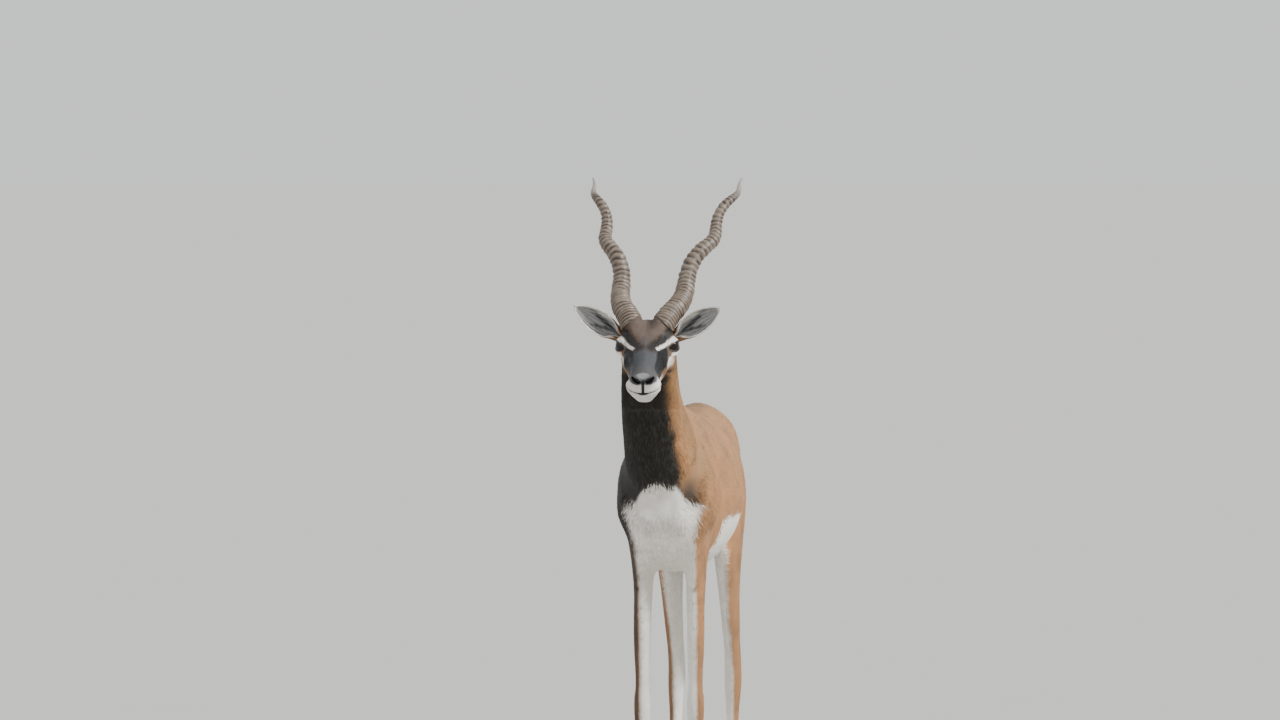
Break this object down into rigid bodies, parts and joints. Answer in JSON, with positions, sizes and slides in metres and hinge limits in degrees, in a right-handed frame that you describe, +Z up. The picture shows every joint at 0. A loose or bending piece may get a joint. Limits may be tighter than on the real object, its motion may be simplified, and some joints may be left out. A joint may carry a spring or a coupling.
{
  "type": "blackbuck model",
  "caption": "Still life-size model of an adult male blackbuck, standing and facing forward, with long ringed spiral horns.",
  "frame": {"origin": "on the floor, below the middle of the model's bounding box", "axes": "-Y is the way the animal faces, +Z is up, and +X is its own left side"},
  "size_m": [0.2584, 1.1014, 1.165],
  "materials": {
    "coat_trunk": "short rufous brown hair, matt",
    "coat_neck": "dark brown hair with a slight sheen",
    "coat_face": "very short dark hair with white markings",
    "coat_tail": "brown hair, white underneath",
    "coat_ear": "thin grey hair over skin",
    "coat_leg": "short brown hair, white on the inner sides",
    "horn": "ringed horn, satin on the ridges",
    "eye": "polished dark brown",
    "claw": "dark horn, worn satin"
  },
  "bodies": {
    "root": {"torso": "coat_trunk", "rump": "coat_trunk", "neck": "coat_neck", "head": "coat_face", "tail": "coat_tail", "ear_left": "coat_ear", "ear_right": "coat_ear", "horn_left": "horn", "horn_right": "horn", "eye_left": "eye", "eye_right": "eye", "forearm_fore_left": "coat_leg", "cannon_fore_left": "coat_leg", "pastern_fore_left": "coat_leg", "claw_fore_left_inner": "claw", "claw_fore_left_outer": "claw", "forearm_fore_right": "coat_leg", "cannon_fore_right": "coat_leg", "pastern_fore_right": "coat_leg", "claw_fore_right_inner": "claw", "claw_fore_right_outer": "claw", "shank_hind_left": "coat_leg", "cannon_hind_left": "coat_leg", "pastern_hind_left": "coat_leg", "claw_hind_left_inner": "claw", "claw_hind_left_outer": "claw", "shank_hind_right": "coat_leg", "cannon_hind_right": "coat_leg", "pastern_hind_right": "coat_leg", "claw_hind_right_inner": "claw", "claw_hind_right_outer": "claw"}
  },
  "joints": []
}
